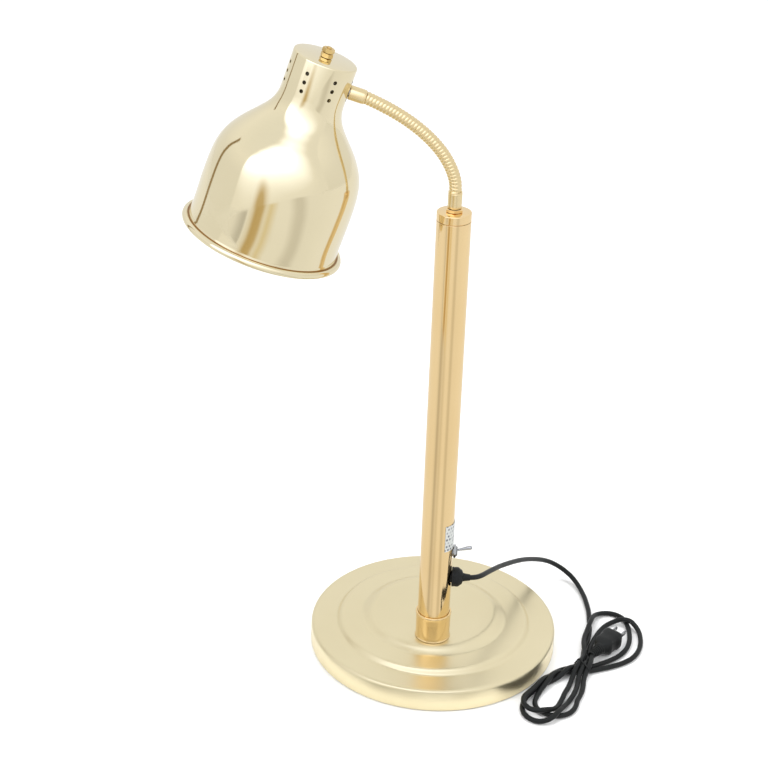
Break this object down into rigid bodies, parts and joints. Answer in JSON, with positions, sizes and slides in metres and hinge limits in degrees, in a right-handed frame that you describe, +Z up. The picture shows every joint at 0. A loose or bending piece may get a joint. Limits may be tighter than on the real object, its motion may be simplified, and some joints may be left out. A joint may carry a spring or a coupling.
{
  "type": "heat lamp warmer",
  "caption": "Countertop food warming lamp with a bell shade on a flexible neck, a straight column, a round stepped weighted base, a toggle switch and a corded plug.",
  "frame": {"origin": "centre of the base's underside, on the surface the lamp stands on", "axes": "+Z up; the column faces its switch, label and cord gland towards +X, and the neck and shade reach out towards -X; -Y is the front, nearer the column"},
  "size_m": [0.5499, 0.324, 0.7644],
  "materials": {
    "gold_shell": "polished, anodised pale gold",
    "gold_tube": "polished, plated pale gold",
    "gold_hose": "plated pale gold, corrugated",
    "brass": "turned brass",
    "steel": "zinc plated",
    "chrome": "bright nickel plate",
    "cast_iron": "raw casting",
    "foam_pad": "closed-cell foam",
    "black_plastic": "moulded, semi-matt",
    "cord_jacket": "smooth extruded jacket",
    "porcelain": "glazed",
    "bulb_glass": "frosted face, silvered reflector",
    "label": "printed film"
  },
  "bodies": {
    "stand": {"base_pad": "foam_pad", "bottom_plate": "steel", "base_weight": "cast_iron", "base_spacer": "steel", "base_cover": "gold_shell", "foot_bolt": "steel", "foot_washer": "steel", "foot_plug": "steel", "foot_nut": "steel", "column_collar": "gold_tube", "column_tube": "gold_tube", "column_cap": "gold_tube", "neck_nipple": "steel", "cap_inner_nut": "steel", "neck_lock_nut": "gold_tube", "switch_body": "black_plastic", "switch_bushing": "chrome", "switch_nut": "chrome", "strain_relief": "black_plastic", "rating_label": "label", "lead_tail": "cord_jacket", "lamp_wire": "cord_jacket", "cord_lead": "cord_jacket", "cord_hank": "cord_jacket", "cord_tie": "black_plastic", "plug_boot": "black_plastic", "plug_body": "black_plastic", "plug_blade_line": "chrome", "plug_blade_neutral": "chrome", "plug_ground_pin": "chrome"},
    "switch_arm": {"switch_lever": "chrome"},
    "neck_1": {"lower_ferrule": "gold_tube", "neck_link_1": "gold_hose"},
    "neck_2": {"neck_link_2": "gold_hose"},
    "neck_3": {"neck_link_3": "gold_hose"},
    "neck_4": {"neck_link_4": "gold_hose"},
    "neck_5": {"neck_link_5": "gold_hose"},
    "head": {"neck_link_6": "gold_hose", "upper_ferrule": "gold_tube", "head_nipple": "steel", "head_nipple_nut": "steel", "shade": "gold_shell", "top_stud": "brass", "top_nut_lower": "brass", "top_nut_upper": "brass", "under_nut": "steel", "holder_bracket": "steel", "bracket_nut": "steel", "lampholder": "porcelain", "screw_shell": "brass", "bulb_cap": "steel", "bulb_glass": "bulb_glass", "head_wire": "cord_jacket"}
  },
  "joints": [
    {"name": "neck_swivel", "type": "hinge", "parent": "stand", "child": "neck_1", "pos_m": [0, -0.053, 0.6], "axis": [0, 0, 1], "range_deg": [-60, 60]},
    {"name": "neck_bend", "type": "hinge", "parent": "neck_1", "child": "neck_2", "pos_m": [-0.0052, -0.0535, 0.63305], "axis": [0.0958, -0.9954, 0], "range_deg": [-10, 4]},
    {"name": "neck_bend_2", "type": "hinge", "parent": "neck_2", "child": "neck_3", "pos_m": [-0.01795, -0.05473, 0.65423], "axis": [0.0958, -0.9954, 0], "range_deg": [-10, 4]},
    {"name": "neck_bend_3", "type": "hinge", "parent": "neck_3", "child": "neck_4", "pos_m": [-0.03502, -0.05637, 0.67213], "axis": [0.0958, -0.9954, 0], "range_deg": [-10, 4]},
    {"name": "neck_bend_4", "type": "hinge", "parent": "neck_4", "child": "neck_5", "pos_m": [-0.05458, -0.05826, 0.68726], "axis": [0.0958, -0.9954, 0], "range_deg": [-10, 4]},
    {"name": "neck_bend_5", "type": "hinge", "parent": "neck_5", "child": "head", "pos_m": [-0.07584, -0.0603, 0.69988], "axis": [0.0958, -0.9954, 0], "range_deg": [-10, 4]},
    {"name": "switch_toggle", "type": "hinge", "parent": "stand", "child": "switch_arm", "pos_m": [0.0182, -0.053, 0.1606], "axis": [0, 1, 0], "range_deg": [0, 30]}
  ]
}
